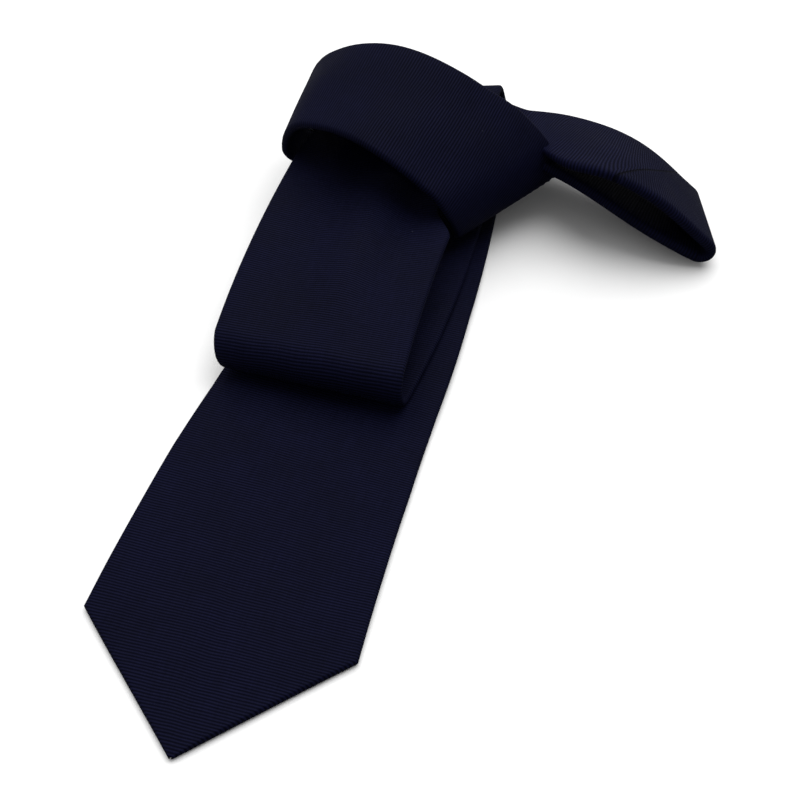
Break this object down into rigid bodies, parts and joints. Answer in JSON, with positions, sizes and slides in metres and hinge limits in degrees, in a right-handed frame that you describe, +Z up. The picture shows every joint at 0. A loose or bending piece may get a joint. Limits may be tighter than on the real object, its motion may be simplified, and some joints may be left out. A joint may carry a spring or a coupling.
{
  "type": "necktie",
  "caption": "Dark navy ribbed silk necktie, folded back on itself, with its neck part wound over it as a loose band and its narrow part looped out to the side.",
  "frame": {"origin": "middle of the bottom of the whole folded tie's bounding box, on the surface that the tie lies on", "axes": "+Y runs from the pointed wide tip back along the blade to the rolled band, +X is to the right seen from the tip, and +Z is up out of the surface"},
  "size_m": [0.1726, 0.3198, 0.0581],
  "materials": {
    "silk": "ribbed silk weave, mostly matt with a soft sheen along the ribs",
    "interlining": "brushed wool canvas",
    "tipping_satin": "smooth satin lining",
    "thread": "twisted silk thread",
    "label_weave": "plain woven label, left blank",
    "care_tape": "satin tape, left blank"
  },
  "bodies": {
    "roll": {"blade_shell": "silk", "neck_shell": "silk", "tail_shell": "silk", "blade_interlining": "interlining", "neck_interlining": "interlining", "tail_interlining": "interlining", "tail_tipping": "tipping_satin", "keeper_loop": "silk", "maker_label": "label_weave", "care_label": "care_tape", "slip_stitch": "thread"},
    "blade_front": {"blade_front_shell": "silk", "blade_front_interlining": "interlining", "blade_tipping": "tipping_satin", "blade_bar_tack": "thread"}
  },
  "joints": [
    {"name": "blade_lift", "type": "hinge", "parent": "roll", "child": "blade_front", "pos_m": [-0.03936, -0.03491, 0.0024], "axis": [-1, 0, 0], "range_deg": [0, 75]}
  ]
}
